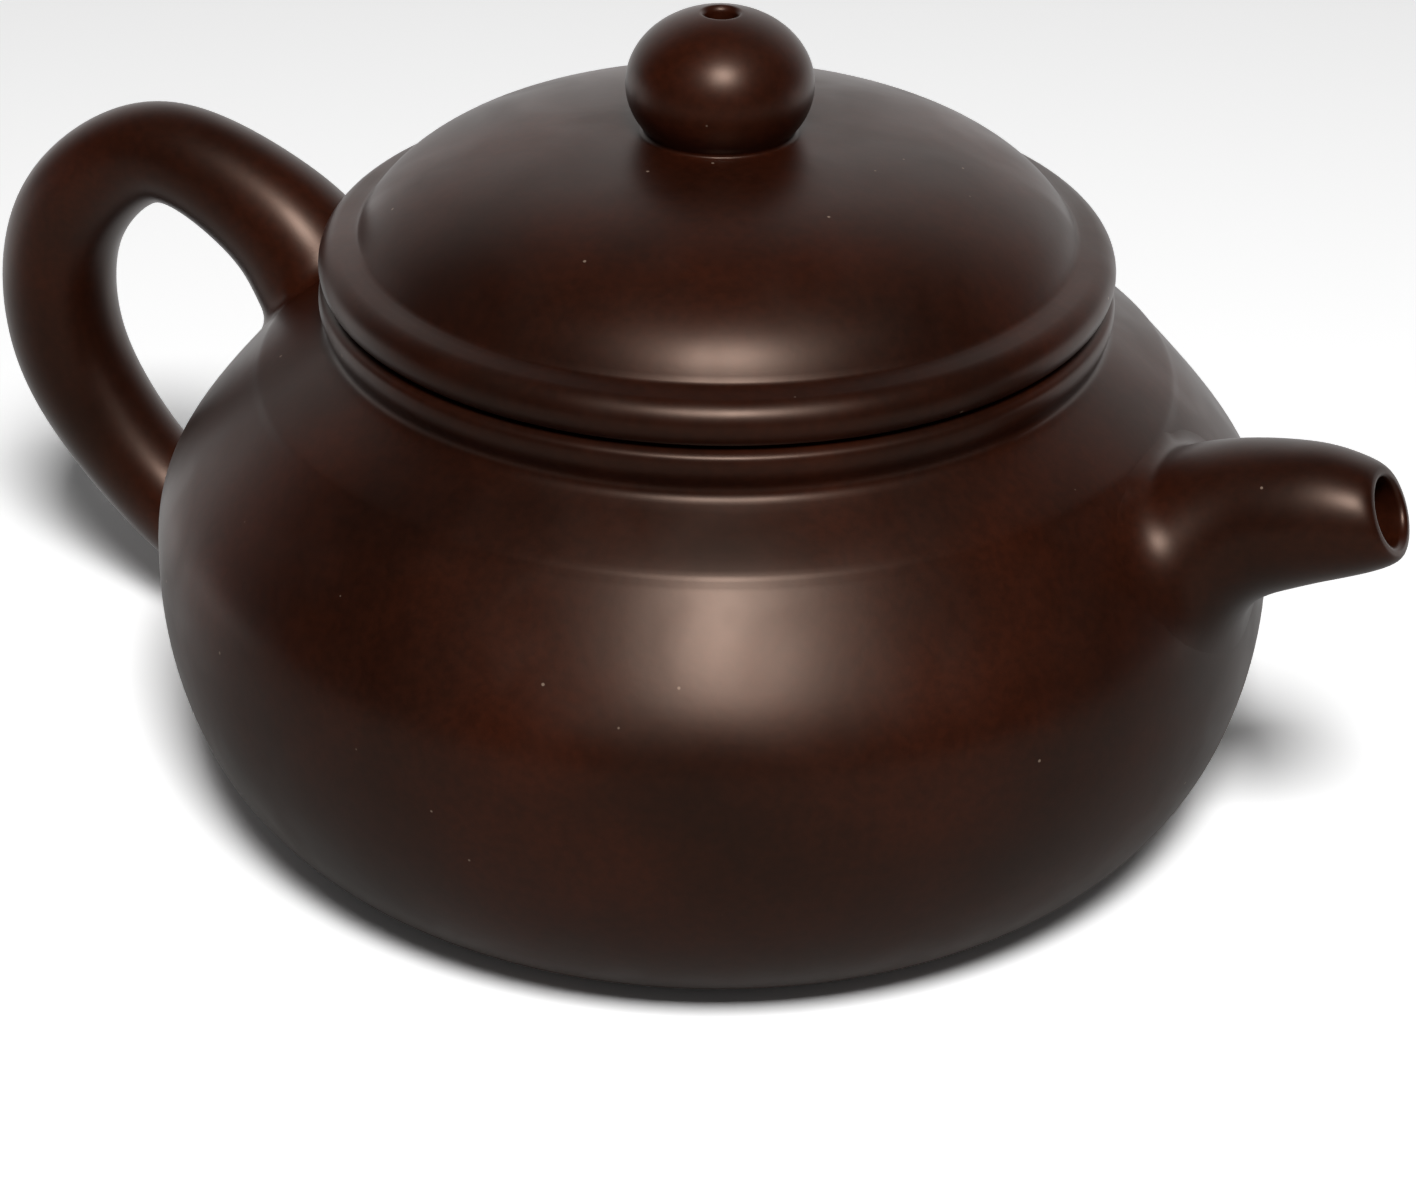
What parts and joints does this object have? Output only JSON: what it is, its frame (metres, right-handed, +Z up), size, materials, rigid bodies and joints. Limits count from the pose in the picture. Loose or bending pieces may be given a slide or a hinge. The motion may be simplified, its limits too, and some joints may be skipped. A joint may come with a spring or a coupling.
{
  "type": "clay teapot",
  "caption": "Squat round teapot in dark unglazed clay with a ball-knobbed drop-in lid, a short upturned spout with a strainer behind it, and a loop handle.",
  "frame": {"origin": "on the pot's upright axis, at the plane that the foot ring stands on", "axes": "+Z up along the pot's axis, +X from the handle to the spout, +Y to the left of someone looking along the spout from behind the handle"},
  "size_m": [0.153, 0.11, 0.0809],
  "materials": {
    "body_clay": "burnished unglazed purple-brown clay, satin",
    "bare_clay": "unburnished purple-brown clay, matt"
  },
  "bodies": {
    "pot": {"base_disc": "body_clay", "belly_wall": "body_clay", "shoulder_disc": "body_clay", "mouth_rim": "body_clay", "spout": "body_clay", "strainer": "bare_clay", "handle": "body_clay"},
    "lid": {"lid_flange": "bare_clay", "lid_rim": "body_clay", "lid_dome": "body_clay", "knob": "body_clay"}
  },
  "joints": [
    {"name": "lid_lift", "type": "slide", "parent": "pot", "child": "lid", "axis": [0, 0, 1], "range_m": [0, 0.04]}
  ]
}
